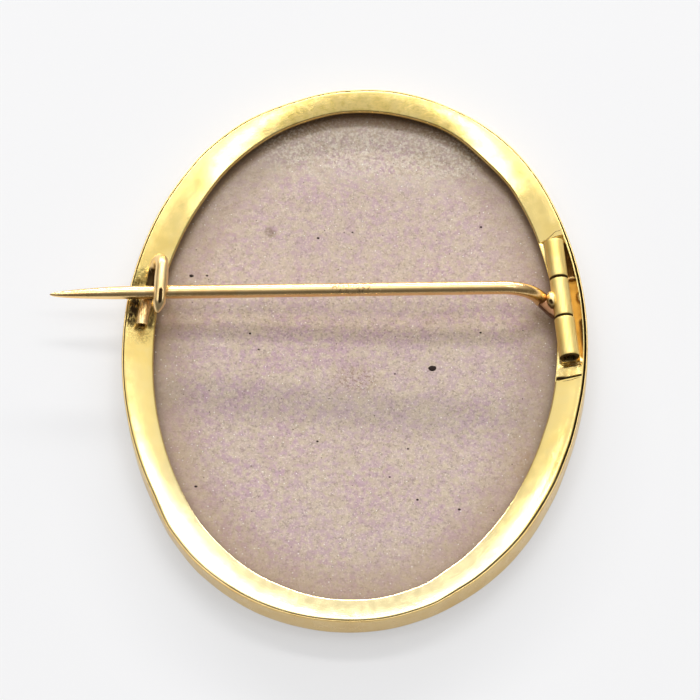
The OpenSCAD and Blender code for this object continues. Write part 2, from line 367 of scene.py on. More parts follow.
# Node group that turns a section round an oval. A section point holds inset, blend and height: blend 0
# follows the outer oval, blend 1 the inner one. With both axes equal it is a plain lathe.
def turningTree():
    tree, ask = newTree("ovalTurning", {
        "Section": None, "Section Points": 8, "Steps": 64, "Outer Length": 10.0, "Outer Width": 10.0,
        "Inner Length": 0.0, "Inner Width": 0.0, "Fall": 0.0, "Shoulder": 1.0, "Shoulder Fall": 0.0,
        "Dome": 0.0, "Roughen": 0.0, "Grain": 0.3, "Seed": 0.0})
    across = ask["Section Points"] - 1.0
    grid = put(tree, "GeometryNodeMeshGrid", {
        "Size X": across, "Size Y": ask["Steps"], "Vertices X": ask["Section Points"],
        "Vertices Y": ask["Steps"] + 1.0}, "Mesh")
    place = put(tree, "GeometryNodeInputPosition")
    gridX, gridY, _ = split(place)
    column = calc("ROUND", gridX + across * 0.5)
    row = calc("ROUND", gridY + ask["Steps"] * 0.5)
    angle = row / ask["Steps"] * math.tau
    section = put(tree, "GeometryNodeObjectInfo", {"Object": ask["Section"]}, "Geometry")
    sampled = put(tree, "GeometryNodeSampleIndex", {"Geometry": section, "Value": place, "Index": column},
                  data_type="FLOAT_VECTOR", domain="POINT")
    inset, blend, height = split(sampled)
    c, s = calc("COSINE", angle), calc("SINE", angle)
    onSide = calc("GREATER_THAN", calc("ABSOLUTE", c), 45 / 53)
    onEnd = calc("SUBTRACT", 1.0, onSide)
    signC, signS = calc("SIGN", c), calc("SIGN", s)

    def ovalAt(side, in0):
        length, width = ask[side + " Length"], ask[side + " Width"]
        k = (length - width) / 40.0
        r = width * 0.5 - k * 8.0 + k * 53.0 * onSide - in0
        x = calc("MULTIPLY_ADD", r, c, k * -45.0 * (onSide * signC))
        y = calc("MULTIPLY_ADD", r, s, k * 28.0 * (onEnd * signS))
        return put(tree, "ShaderNodeCombineXYZ", {"X": x, "Y": y})

    flat = put(tree, "ShaderNodeMix", {0: blend, 4: ovalAt("Outer", inset), 5: ovalAt("Inner", 0.0)}, 1,
               data_type="VECTOR", clamp_factor=False)
    depth = vecCalc("DISTANCE", flat, ovalAt("Outer", 0.0), out="Value")
    past = calc("SMOOTH_MAX", depth - ask["Shoulder"], 0.0, shoulderBlend)
    drop = past * ask["Fall"] + depth * ask["Shoulder Fall"]
    bowl = vecCalc("DOT_PRODUCT", flat, flat, out="Value") * ask["Dome"]
    lifted = vecCalc("ADD", flat, put(tree, "ShaderNodeCombineXYZ", {"Z": height - drop + bowl}))
    waves = put(tree, "ShaderNodeTexNoise", {
        "Vector": lifted, "W": ask["Seed"], "Scale": ask["Grain"], "Detail": 2.0}, "Color",
        noise_dimensions="4D")
    push = scaled(vecCalc("SUBTRACT", waves, (0.5, 0.5, 0.5)), ask["Roughen"])
    placed = put(tree, "GeometryNodeSetPosition", {
        "Geometry": grid, "Position": vecCalc("ADD", lifted, push)})
    merged = put(tree, "GeometryNodeMergeByDistance", {"Geometry": placed, "Distance": 0.0005})
    return endTree(tree, merged, ask["Finish"])


# Node group that draws a round wire along a path whose points carry their own radius
def wireTree():
    tree, ask = newTree("roundWire", {"Sides": 32})
    path = put(tree, "GeometryNodeMeshToCurve", {"Mesh": ask["Geometry"]})
    ring = put(tree, "GeometryNodeCurvePrimitiveCircle", {
        "Resolution": ask["Sides"], "Radius": 1.0}, "Curve", mode="RADIUS")
    thick = put(tree, "GeometryNodeInputNamedAttribute", {"Name": "thick"}, data_type="FLOAT")
    tube = put(tree, "GeometryNodeCurveToMesh", {
        "Curve": path, "Profile Curve": ring, "Scale": thick, "Fill Caps": True})
    return endTree(tree, tube, ask["Finish"])


turning = turningTree()
wiring = wireTree()


def ovalSizes(outer, inner=(0.0, 0.0)):
    labels = ("Outer Length", "Outer Width", "Inner Length", "Inner Width")
    return dict(zip(labels, (*outer, *inner)))


def shrunk(size, by):
    return [value - by for value in size]


def turned(name, section, sizes, finish, closed=True):
    points = section + [section[0]] if closed else section
    guide = lineObject(name + "Section", points)
    host = lineObject(name + "Host", [(0, 0, 0), (1, 0, 0)])
    mesh = grownMesh(host, turning, {
        "Section": guide, "Section Points": len(points), "Finish": finish, **sizes})
    bpy.data.objects.remove(guide)
    return mesh


def drawnWire(name, path, thick, finish, sides=32):
    host = lineObject(name + "Path", path, thick)
    return grownMesh(host, wiring, {"Sides": sides, "Finish": finish})


def arcPoints(r, start, end, count):
    turn = [math.radians(start + (end - start) * i / count) for i in range(count + 1)]
    return [(r * math.cos(a), r * math.sin(a)) for a in turn]


def spread(low, high, count):
    return [low + (high - low) * i / (count - 1) for i in range(count)]


# Brings turned pieces to their place in the frame
def atOval(mesh):
    mesh.transform(Matrix.Scale(mm, 4) @ Matrix.Translation((oval["centreX"], 0, 0)))
    return tidyMesh(mesh)


def atHinge(mesh, lathe=True):
    stand = Matrix.Rotation(math.radians(-90), 4, "X") if lathe else Matrix.Identity(4)
    mesh.transform(Matrix.Scale(mm, 4) @ hingeMatrix() @ stand)
    return tidyMesh(mesh)


def bentPiece(name, mesh, finish, size, label="fromEdge"):
    markDepth(mesh, size, label)
    bendMesh(mesh)
    return newPiece(name, mesh, finish)


# Finishes
def patterned(where, scale, detail=3.0, rough=0.55, stretch=None, turn=0.0):
    if stretch:
        inputs = {"Vector": where, "Rotation": (0, 0, turn), "Scale": stretch}
        where = put(where.tree, "ShaderNodeMapping", inputs)
    inputs = {"Vector": where, "Scale": scale, "Detail": detail, "Roughness": rough}
    return put(where.tree, "ShaderNodeTexNoise", inputs, "Fac")


# Mixes two colours, each three numbers or the output of a node
def tint(factor, a, b):
    a, b = [tone if isinstance(tone, nodeValue) else (*tone, 1.0) for tone in (a, b)]
    return put(factor.tree, "ShaderNodeMix", {0: factor, 6: a, 7: b}, 2, data_type="RGBA")


# Starts a finish: the material, and the place on the piece in millimetres
def newFinish(name):
    made = bpy.data.materials.new(name)
    made.use_nodes = True
    place = put(made.node_tree, "ShaderNodeTexCoord", out="Object")
    return made, put(place.tree, "ShaderNodeMapping", {"Vector": place, "Scale": (1000, 1000, 1000)})


def endFinish(made, inputs):
    feed(made.node_tree.nodes["Principled BSDF"], inputs)
    return made


def bumps(relief, strength, distance=0.00005):
    inputs = {"Height": relief, "Strength": strength, "Distance": distance}
    return put(relief.tree, "ShaderNodeBump", inputs)


def keptValue(made, label):
    return put(made.node_tree, "ShaderNodeAttribute", out="Fac", attribute_name=label)


usualTintMark = {"grain": 5.0, "stretch": None, "turn": 0.0, "low": 0.36, "high": 0.62, "dull": 0.25}
solid = {"low": -1.0, "high": -0.5}  # for a stain without breaks


# A tint mark along the line from start to end, a real stain or painted light or shade as its list says: full
# within the first reach, gone past the second
def tintMark(start, end, reach, strength, tone, **more):
    told = {"start": start, "end": end, "reach": reach, "strength": strength, "tone": tone}
    return {**usualTintMark, **told, **more}


def tintMarkAmount(where, spot, breakUp):
    start = Vector(spot["start"])
    axis = Vector(spot["end"]) - start
    rel = vecCalc("SUBTRACT", where, tuple(start))
    share = vecCalc("DOT_PRODUCT", rel, tuple(axis), out="Value") / axis.length_squared
    held = calc("MINIMUM", calc("MAXIMUM", share, 0.0), 1.0)
    gap = vecCalc("DISTANCE", rel, scaled(tuple(axis), held), out="Value")
    marks = patterned(where, spot["grain"], 4.0, breakUp, spot["stretch"], spot["turn"])
    near = mapRange(gap, *spot["reach"], 1.0, 0.0)
    return near * mapRange(marks, spot["low"], spot["high"]) * spot["strength"]


soot = (0.03, 0.018, 0.008)


def goldFinish(name, tones, roughness, grimeAndPaintedLight=(), brushed=None, seam=None):
    made, where = newFinish(name)
    slow = mapRange(patterned(where, 0.16, 2.0), 0.38, 0.66)
    patch = mapRange(patterned(where, 0.7, 4.0), 0.42, 0.7)
    tone = tint(patch * 0.55, tint(slow, tones[0], tones[1]), tones[2])
    rough = mapRange(patterned(where, 0.9, 5.0, 0.6), 0.3, 0.75, *roughness)
    scratchA = patterned(where, 1.0, 2.0, 0.5, (0.5, 16.0, 16.0), 0.7)
    scratchB = patterned(where, 1.0, 2.0, 0.5, (14.0, 0.4, 14.0), 0.35)
    relief = patterned(where, 9.0, 3.0, 0.6) * 0.5 + scratchA * 0.35 + scratchB * 0.35
    if brushed:
        lines = patterned(where, 1.0, 2.0, 0.6, brushed["stretch"], brushed["turn"])
        relief = relief + lines * brushed["depth"]
        tone = tint(mapRange(lines, 0.45, 0.70, 0.0, 0.5), tone, brushed["tone"])
    # each mark tints the gold: real stains and soot, and also painted highlights, painted shade and painted
    # dark reflections
    for spot in grimeAndPaintedLight:
        amount = tintMarkAmount(where, spot, 0.65)
        tone = tint(amount, tone, spot["tone"])
        rough = rough + amount * spot["dull"]
    if seam:
        edge = keptValue(made, "fromEdge")
        _, along, height = split(where)
        inGap = mapRange(edge, *seam["from"]) * mapRange(edge, *seam["to"], 1.0, 0.0)
        inGap = inGap * mapRange(height, *seam["top"], 1.0, 0.0)
        if "clean" in seam:
            inGap = inGap * mapRange(along, *seam["clean"], 1.0, 0.12)
        tone = tint(inGap * 0.94, tone, seam.get("tone", soot))
        rough = rough + inGap * 0.4
    normal = bumps(relief, 0.12)
    return endFinish(made, {"Base Color": tone, "Roughness": rough, "Metallic": 1.0, "Normal": normal})


def enamelFinish(name, look):
    made, where = newFinish(name)
    tone = tint(mapRange(patterned(where, 0.12, 3.0), 0.35, 0.65), look["base"], look["cloud"])
    broad = mapRange(patterned(where, 0.45, 2.0), 0.30, 0.62, 0.45, 1.0)
    motes = mapRange(patterned(where, look["moteGrain"], 4.0, 0.62), 0.42, 0.68) * broad
    cells = put(where.tree, "ShaderNodeTexVoronoi", {"Vector": where, "Scale": 1.9}, "Distance")
    cellTone = nodeValue(where.tree, cells.socket.node.outputs["Color"])
    chosen = put(where.tree, "ShaderNodeSeparateColor", {0: cellTone})
    for label, marks in (
        ("mote", motes),
        ("patch", mapRange(patterned(where, 1.05, 3.0, 0.6), 0.43, 0.60)),
        ("dark", mapRange(patterned(where, 3.6, 4.0, 0.66), 0.48, 0.66)),
        ("grain", mapRange(patterned(where, 5.0, 3.0, 0.6), 0.52, 0.66)),
        ("glint", mapRange(cells, 0.04, 0.12, 1.0, 0.0) * calc("GREATER_THAN", chosen, 0.80)),
    ):
        colour, share = look[label]
        tone = tint(marks * share, tone, colour)
    for band in look.get("edgeShadeAndDirtBands", ()):
        # darker towards the opening's edge: painted shade under the rim, with dirt
        ring = mapRange(keptValue(made, "fromRim"), band["wide"], band["full"])
        tone = tint(ring * band["strength"], tone, band["tone"])
    # stains, and cream flecks that paint the sheen near the top edge
    for spot in look.get("stainsAndSheen", ()):
        tone = tint(tintMarkAmount(where, spot, 0.7), tone, spot["tone"])
    relief = patterned(where, 1.2, 2.0) + motes * look["peel"]
    rough = mapRange(patterned(where, 0.8, 4.0), 0.3, 0.7, *look["rough"])
    normal = bumps(relief, look["bump"])
    return endFinish(made, {"Base Color": tone, "Roughness": rough, "IOR": 1.52, "Normal": normal})


def glintFinish(name, tone, rough, shine=0.5):
    made, where = newFinish(name)
    shade = tint(patterned(where, 6.0, 2.0), tone, [min(1.0, v * 1.15) for v in tone])
    normal = bumps(patterned(where, 12.0, 2.0), 0.2, 0.00002)
    inputs = {"Base Color": shade, "Roughness": rough, "Specular IOR Level": shine, "Normal": normal}
    return endFinish(made, inputs)


# Paler gold over the lower end, a painted highlight; a darker upper end, tarnish with a painted dark
# reflection; and soot left beside the catch by the flame
rimSheenShadeAndSoot = (
    # painted highlight: paler gold over the lower half of the rim
    tintMark((-6.0, -38.0, 3.0), (6.0, -38.0, 3.0), (17.0, 33.0), 1.0, (0.89, 0.75, 0.41), dull=0.03, **solid),
    # tarnish with a painted dark reflection along the upper end of the rim
    tintMark((-4.0, 26.0, 3.2), (10.0, 25.5, 3.2), (1.0, 6.0), 0.55, (0.64, 0.48, 0.11), grain=1.6, low=0.42,
          high=0.66, dull=0.1),
    tintMark((-18.3, 5.4, 3.3), (-17.9, 6.7, 3.3), (0.6, 1.4), 0.95, (0.2, 0.17, 0.06), grain=3.2, low=0.33,
          high=0.56),
    tintMark((-18.85, 5.2, 3.4), (-18.3, 6.1, 3.3), (0.15, 0.6), 0.95, soot, grain=1.0, stretch=(5.0, 1.8, 5.0),
          low=0.3, high=0.52),
    tintMark((-17.7, 0.6, 3.4), (-17.7, 5.6, 3.4), (0.9, 1.6), 0.6, (0.4, 0.28, 0.08), grain=5.0),
    tintMark((-18.8, 1.9, 3.4), (-18.45, 3.9, 3.4), (0.25, 0.95), 1.0, soot, grain=1.0, stretch=(4.5, 1.6, 4.5),
          low=0.28, high=0.5),
    tintMark((-18.85, 1.2, 3.4), (-18.7, 1.6, 3.4), (0.15, 0.6), 0.8, soot, grain=1.0, stretch=(6.0, 2.4, 6.0),
          low=0.36, high=0.56),
    tintMark((-16.75, 1.6, 3.2), (-16.6, 3.3, 3.2), (0.2, 0.8), 1.0, soot, grain=1.0, stretch=(4.5, 1.6, 4.5),
          low=0.28, high=0.5),
    tintMark((-16.95, 4.6, 3.3), (-16.95, 6.9, 3.2), (0.2, 0.6), 1.0, soot, grain=1.0, stretch=(4.5, 1.6, 4.5),
          low=0.26, high=0.48),
)


# Enamel looks: for the flecks, a tone and how much of it is laid on
backLook = {
    "base": (0.490, 0.318, 0.362),
    "cloud": (0.512, 0.368, 0.368),
    "mote": ((0.68, 0.56, 0.37), 0.86),
    "moteGrain": 1.8,
    "patch": ((0.560, 0.455, 0.31), 0.66),
    "dark": ((0.25, 0.175, 0.17), 0.65),
    "grain": ((0.73, 0.59, 0.49), 0.72),
    "glint": ((0.90, 0.83, 0.72), 0.8),
    "peel": 0.3,
    "bump": 0.25,
    "rough": (0.18, 0.32),
    "edgeShadeAndDirtBands": (
        # narrow dark band at the opening: painted shade under the rim's edge, with dirt
        {"wide": 1.3, "full": -0.2, "strength": 0.75, "tone": (0.15, 0.09, 0.06)},
        # wider browner band: painted shade along the edge, with dirt
        {"wide": 6.5, "full": 0.0, "strength": 0.60, "tone": (0.35, 0.23, 0.13)},
    ),
    "stainsAndSheen": (
        tintMark((-6.0, 13.0, 1.5), (13.0, 13.0, 1.5), (3.5, 11.0), 0.12, (0.5, 0.385, 0.28), grain=0.4,
              low=-0.4, high=0.7),
        # cream flecks near the top edge: painted sheen
        tintMark((-4.0, 22.8, 1.5), (12.0, 22.8, 1.5), (1.2, 4.8), 0.62, (0.84, 0.75, 0.6), grain=3.6, low=0.46,
              high=0.62),
        tintMark((-4.0, 22.8, 1.5), (12.0, 22.8, 1.5), (1.2, 4.8), 0.55, (0.24, 0.18, 0.12), grain=2.6, low=0.5,
              high=0.64),
        tintMark((2.9, -2.2, 1.5), (4.9, -2.3, 1.5), (0.4, 1.9), 0.7, (0.22, 0.12, 0.08), grain=3.4, low=0.5,
              high=0.6),
        tintMark((2.9, -2.2, 1.5), (4.9, -2.3, 1.5), (0.3, 2.6), 0.35, (0.36, 0.22, 0.17), grain=1.0, low=0.3,
              high=0.7),
        tintMark((21.7, -9.6, 2.0), (21.5, -11.9, 2.0), (0.3, 1.5), 0.7, (0.33, 0.2, 0.1), grain=2.0, low=0.4,
              high=0.62),
        tintMark((-5.75, 13.3, 1.5), (-5.5, 13.1, 1.5), (0.15, 0.75), 0.75, (0.2, 0.13, 0.07), grain=3.0,
              low=0.3, high=0.6),
    ),
}
frontLook = {
    "base": (0.78, 0.72, 0.62),
    "cloud": (0.82, 0.77, 0.68),
    "mote": ((0.86, 0.82, 0.74), 0.4),
    "moteGrain": 2.6,
    "patch": ((0.80, 0.76, 0.67), 0.25),
    "dark": ((0.70, 0.62, 0.52), 0.15),
    "grain": ((0.84, 0.80, 0.72), 0.2),
    "glint": ((0.9, 0.88, 0.84), 0.2),
    "peel": 0.1,
    "bump": 0.12,
    "rough": (0.08, 0.16),
}
alongTube = math.radians(-hinge["lean"])
trough = {"grain": 1.0, "stretch": (5.0, 0.8, 5.0), "turn": alongTube}


# A tint mark whose ends are told across, along and above the hinge
def hingeTintMark(start, end, *look, **more):
    return tintMark(hingePoint(*start), hingePoint(*end), *look, **more)


seatShadeHighlightsAndSoot = (
    # painted shade: deeper, darker orange in the trough beside the tube
    hingeTintMark((2.0, -5.7, 2.7), (1.75, 6.0, 2.7), (0.8, 1.1), 1.0, (0.56, 0.28, 0.045), **solid),
    # painted shade: dark streaks deep in the trough, above and below the middle
    hingeTintMark((1.75, 3.3, 2.7), (1.55, 5.8, 2.7), (0.75, 1.0), 0.95, (0.1, 0.045, 0.012),
               low=0.08, high=0.5, **trough),
    hingeTintMark((2.0, -2.4, 2.7), (2.0, -5.3, 2.7), (0.34, 0.72), 0.95, (0.13, 0.06, 0.016),
               low=0.16, high=0.52, **trough),
    # painted highlights on the two solder lumps
    hingeTintMark((2.0, 0.2, 2.9), (1.98, 0.65, 2.9), (0.3, 0.48), 1.0, (1.0, 0.8, 0.38), **solid),
    hingeTintMark((1.2, 2.5, 2.9), (1.5, 2.55, 2.9), (0.1, 0.3), 1.0, (1.0, 0.8, 0.42), **solid),
    # painted shade: dark wedge in the recess beside the middle knuckle, under the stem
    hingeTintMark((-0.9, -1.85, 2.5), (-0.9, 2.3, 2.5), (0.4, 0.9), 0.9, (0.12, 0.06, 0.02),
               grain=2.0, low=0.25, high=0.5),
    hingeTintMark((-0.4, -6.7, 2.8), (1.9, -6.75, 2.8), (0.12, 0.4), 0.85, (0.16, 0.08, 0.02),
               grain=2.4, low=0.3, high=0.55),
    hingeTintMark((-2.4, -8.37, 2.3), (1.0, -8.41, 2.8), (0.42, 0.56), 1.0, soot, **solid),
    hingeTintMark((1.0, -8.41, 2.8), (3.4, -8.44, 3.1), (0.42, 0.56), 1.0, soot, **solid),
)
beadPitAndUnderShade = (
    # painted shade in the bead's pit
    hingeTintMark((-1.16, -0.36, 4.33), (-1.08, -0.52, 4.28), (0.11, 0.24), 1.0, (0.06, 0.03, 0.01), **solid),
    # painted shade under the bead
    hingeTintMark((-1.3, -0.8, 3.9), (-0.9, -0.95, 3.9), (0.18, 0.45), 0.8, (0.2, 0.1, 0.04), **solid),
)
catchTarnishShadeAndReflection = (
    tintMark((-17.687, 0.9, 3.63), (-17.5, 3.6, 3.63), (0.3, 1.1), 0.8, (0.16, 0.08, 0.02),
          grain=1.0, stretch=(6.0, 1.6, 6.0), low=0.42, high=0.6),
    # painted shade between the rod and the limb above it
    tintMark((-17.2, 4.4, 3.9), (-16.9, 6.6, 4.2), (0.5, 0.9), 1.0, (0.06, 0.035, 0.012),
          grain=2.6, low=0.18, high=0.42),
    # painted dark reflection in the worn slit on the limb
    tintMark((-15.88, 2.1, 6.95), (-15.92, 3.7, 6.95), (0.14, 0.27), 1.0, (0.04, 0.024, 0.01),
          grain=1.0, low=0.0, high=0.2),
)
pinWear = (
    tintMark((1.6, 5.4, 6.2), (4.6, 5.6, 6.1), (0.25, 0.75), 0.75, (0.16, 0.08, 0.04),
          grain=3.0, low=0.52, high=0.6),
    hingeTintMark((-1.9, 0.1, 3.9), (-1.4, 0.1, 3.6), (0.2, 0.7), 0.85, (0.6, 0.32, 0.1),
               grain=2.0, low=0.1, high=0.5),
)
# Seams between pieces: where the dark begins and ends inwards from the edge, and up to which height it stays
wallSeam = {"from": (0.085, 0.115), "to": (2.0, 2.1), "top": (3.47, 3.505)}
rimSeam = {"from": (-0.2, -0.1), "to": (0.24, 0.32), "top": (3.38, 3.46), "clean": (2.0, 14.0)}
jointSeam = {"from": (-2.0, -1.0), "to": (0.05, 0.15), "top": (90.0, 91.0), "tone": (0.14, 0.08, 0.03)}
brushing = {"stretch": (9.0, 0.35, 9.0), "turn": alongTube, "depth": 1.8, "tone": (0.78, 0.54, 0.13)}

# For each gold finish: name, three tones, least and most roughness, and what marks it
golds = {
    "wall": ("satinWallGold", ((0.81, 0.59, 0.25), (0.75, 0.52, 0.20), (0.85, 0.64, 0.31)), (0.26, 0.38),
             {"seam": wallSeam}),
    "rim": ("polishedRimGold", ((0.98, 0.76, 0.29), (0.98, 0.73, 0.24), (0.97, 0.77, 0.33)), (0.12, 0.20),
            {"grimeAndPaintedLight": rimSheenShadeAndSoot, "seam": rimSeam}),
    "seat": ("solderedSeatGold", ((1.0, 0.77, 0.31), (0.96, 0.68, 0.22), (1.0, 0.80, 0.38)), (0.22, 0.34),
             {"grimeAndPaintedLight": seatShadeHighlightsAndSoot}),
    "knuckle": ("brushedTubeGold", ((0.98, 0.76, 0.29), (0.95, 0.7, 0.22), (0.98, 0.79, 0.36)), (0.46, 0.56),
                {"brushed": brushing, "seam": jointSeam}),
    "rivet": ("tarnishedRivetGold", ((0.46, 0.3, 0.12), (0.3, 0.18, 0.06), (0.56, 0.4, 0.18)), (0.35, 0.5),
              {}),
    "web": ("scorchedFootGold", ((0.2, 0.1, 0.05), (0.12, 0.06, 0.03), (0.34, 0.18, 0.09)), (0.34, 0.48),
            {}),
    "bead": ("solderBeadGold", ((0.94, 0.71, 0.31), (0.90, 0.64, 0.24), (0.96, 0.76, 0.39)), (0.34, 0.48),
             {"grimeAndPaintedLight": beadPitAndUnderShade}),
    "catch": ("catchGold", ((1.0, 0.74, 0.38), (0.97, 0.67, 0.29), (1.0, 0.79, 0.46)), (0.27, 0.40),
              {"grimeAndPaintedLight": catchTarnishShadeAndReflection}),
    "pin": ("rosyPinGold", ((1.0, 0.69, 0.32), (0.97, 0.62, 0.25), (1.0, 0.74, 0.39)), (0.17, 0.28),
            {"grimeAndPaintedLight": pinWear}),
}
finishes = {label: goldFinish(*look, **marks) for label, (*look, marks) in golds.items()}
finishes["glint"] = glintFinish("whiteGlint", (0.95, 0.89, 0.80), 0.3)
finishes["pit"] = glintFinish("sootyPit", (0.022, 0.012, 0.009), 0.7, 0.15)
finishes["back"] = enamelFinish("mottledBackEnamel", backLook)
finishes["front"] = enamelFinish("plainFrontEnamel", frontLook)
print("brooch: finishes mixed")


# Side wall and front lip
bezelShape = {
    "wallHeight": 3.5,
    "wallThick": 0.3,
    "edgeThick": 0.12,
    "thinFrom": 2.8,
    "lipWidth": 1.7,
    "lipHeight": 0.7,
    "frontRound": 0.35,
    "lipInset": 4.0,  # how much smaller than the outer oval the one is that the lip follows
    "steps": 360,
}


def makeBezel(shape):
    r = shape["frontRound"]
    top = shape["wallHeight"]
    lip = shape["lipWidth"]
    edge = shape["edgeThick"]
    section = [(r - x, 0, r - z) for x, z in arcPoints(r, 90, 0, 6)]
    section += [(0.0, 0, z) for z in spread(0.6, top - 0.06, 9)]
    section += [(0.02, 0, top - 0.02), (0.05, 0, top), (edge, 0, top)]
    section += [(shape["wallThick"], 0, shape["thinFrom"]), (shape["wallThick"], 0, shape["lipHeight"])]
    section += [(lip - 0.25, 0, shape["lipHeight"] - 0.04), (lip - 0.06, 0, shape["lipHeight"] - 0.12)]
    section += [(lip, 0, shape["lipHeight"] - 0.22), (lip, 0, 0.28)]
    section += [(lip - 0.07, 0, 0.1), (lip - 0.25, 0, 0.0)]
    mesh = turned("bezel", section, {
        "Steps": shape["steps"], **ovalSizes(oval["outer"], shrunk(oval["outer"], shape["lipInset"])),
        "Roughen": 0.035, "Grain": 0.35, "Seed": 3.0}, finishes["wall"])
    return bentPiece("bezelWall", atOval(mesh), finishes["wall"], oval["outer"])


# Dished back rim, with the notch for the hinge
rimShape = {
    "height": 3.6,
    "outEdge": 0.18,
    "edgeRound": 0.22,
    "sheet": 0.42,
    "skirtOut": 0.36,
    "skirtThick": 0.42,
    "skirtZ": 2.55,
    "fall": 0.12,
    "shoulder": 1.5,
    "shoulderFall": 0.228,
    "steps": 720,
    "across": 26,
    "notchTopInner": (-3.2, 6.52),
    "notchTopOuter": (3.4, 7.49),
    "notchBottomInner": (-3.2, -8.45),
    "notchBottomOuter": (4.2, -8.54),
    "seatZ": 2.73,
    "reliefZ": 2.45,
    "strip": 0.46,
    "underSeat": 0.16,
    "reliefAcross": (-3.2, 4.2),
    "seamDeep": 0.9,
    "seamFade": 0.5,
}


def rimSection(shape):
    h, r, out = shape["height"], shape["edgeRound"], shape["outEdge"]
    section = [(out, 0, 3.38)]
    section += [(out + r - x, 0, h - r + z) for x, z in arcPoints(r, 0, 90, 5)]
    start = out + r
    for t in spread(0.04, 0.965, shape["across"]):
        section.append((start * (1 - t), t, h))
    section += [(0, 0.985, h - 0.025), (0, 1.0, h - 0.09), (0, 1.0, h - shape["sheet"] + 0.05)]
    section += [(0, 0.985, h - shape["sheet"])]
    for t in spread(0.95, 0.24, 8):
        section.append((start * (1 - t), t, h - shape["sheet"]))
    skirtIn = shape["skirtOut"] + shape["skirtThick"]
    section += [(skirtIn, 0, h - shape["sheet"] - 0.02), (skirtIn, 0, shape["skirtZ"])]
    section += [(shape["skirtOut"], 0, shape["skirtZ"]), (shape["skirtOut"], 0, 2.8)]
    return section


def prism(name, outline, low, high):
    count = len(outline)
    points = [(p[0] * mm, p[1] * mm, z * mm) for z in (low, high) for p in outline]
    faces = [tuple(reversed(range(count))), tuple(range(count, 2 * count))]
    faces += [(i, (i + 1) % count, count + (i + 1) % count, count + i) for i in range(count)]
    return addObject(name, closedMesh(name, points, faces))


# Point of an oval on the line through base along side, on the outward side of the brooch
def ovalCrossing(size, inset, base, side):
    low, high = 0.0, 12.0
    for _ in range(50):
        mid = (low + high) / 2
        outside = insideDepth(size, fromMiddle(base + side * mid)) < inset
        low, high = (low, mid) if outside else (mid, high)
    return base + side * low


# First point along side where the oval is crossed outwards, for the opening's edge
def firstCrossing(size, inset, base, side):
    for step in range(1200):
        point = base + side * (step * 0.005)
        if insideDepth(size, fromMiddle(point)) < inset:
            return point
    return base


def notchOutline(shape, bottomIn, bottomOut, topIn, topOut, count=24):
    outer = []
    for i in range(count + 1):
        t = i / count
        inP = Vector(bottomIn).lerp(Vector(topIn), t)
        outP = Vector(bottomOut).lerp(Vector(topOut), t)
        base = hingePoint(inP.x, inP.y)
        aim = (hingePoint(outP.x, outP.y) - base).normalized()
        outer.append(ovalCrossing(oval["outer"], shape["strip"], base, aim))
    return [hingePoint(*bottomIn), *outer, hingePoint(*topIn)]


def cut(piece, cutters):
    for cutter in cutters:
        modifier = piece.modifiers.new("cut", "BOOLEAN")
        modifier.operation = "DIFFERENCE"
        modifier.solver = "EXACT"
        modifier.object = cutter
    mesh = baked(piece)
    for cutter in cutters:
        bpy.data.objects.remove(cutter)
    return mesh


def makeRim(shape):
    mesh = turned("backRim", rimSection(shape), {
        "Steps": shape["steps"], **ovalSizes(oval["outer"], oval["opening"]),
        "Fall": shape["fall"], "Shoulder": shape["shoulder"], "Shoulder Fall": shape["shoulderFall"],
        "Roughen": 0.05, "Grain": 0.28, "Seed": 8.0}, finishes["rim"])
    atOval(mesh)
    for vert in mesh.vertices:
        flat = fromMiddle(vert.co, mm)
        depth = insideDepth(oval["outer"], flat)
        if depth < shape["seamDeep"]:
            gap = bendAt(math.degrees(math.atan2(flat.y, flat.x)))[3]
            inwards = -flat.normalized() * gap * min(1.0, (shape["seamDeep"] - depth) / shape["seamFade"])
            vert.co += Vector((inwards.x, inwards.y, 0)) * mm
    rim = newPiece("rimBlank", mesh, finishes["rim"])
    notch = notchOutline(shape, shape["notchBottomInner"], shape["notchBottomOuter"], shape["notchTopInner"],
                         shape["notchTopOuter"])
    ends = [(x, y) for y in (middleFrom, middleTo) for x in shape["reliefAcross"]]
    relief = notchOutline(shape, *ends, 8)
    under = shape["underSeat"]  # cut a little lower than the seat that fills the notch
    cutMesh = cut(rim, [prism("notchCutter", notch, shape["seatZ"] - under, 6.0),
                        prism("reliefCutter", relief, shape["reliefZ"] - under, 5.0)])
    return bentPiece("backRim", tidyMesh(cutMesh), finishes["rim"], oval["outer"])


# How far the rim's top has fallen at a depth from its outer edge, as in the turning group
def rimDrop(shape, depth):
    past = depth - shape["shoulder"]
    blend = max(0.0, shoulderBlend - abs(past)) / shoulderBlend
    return (max(past, 0.0) + blend ** 3 * shoulderBlend / 6) * shape["fall"] + depth * shape["shoulderFall"]


# Soldered seat under the hinge: a patch that follows it, with solder drawn up against the fixed knuckles
seatShape = {
    "from": -8.95,
    "to": 7.6,
    "base": 2.2,
    "rows": 300,
    "columns": 46,
    "setBack": 0.07,
    "outerInset": 0.45,
    "ripple": 0.05,
    "fillet": 0.34,
    "filletReach": 0.26,
    # place across and along the hinge, reach across and along, height
    "lumps": ((1.95, 0.43, 0.26, 0.52, 0.45), (1.35, 2.52, 0.30, 0.16, 0.25)),
    "raisedFrom": -6.75,
    "raisedBy": -7.25,
    "gapFrom": -8.36,
    "gapSlope": -0.012,
    "gapDeep": 0.7,
    "innerAcross": -3.4,  # rows start here, inside the opening
    "calmMiddle": 0.4,  # share of the ripple under the middle knuckle
    "belowRim": 0.05,
    "pastTube": 0.2,
    "filletFrom": 0.62,
}


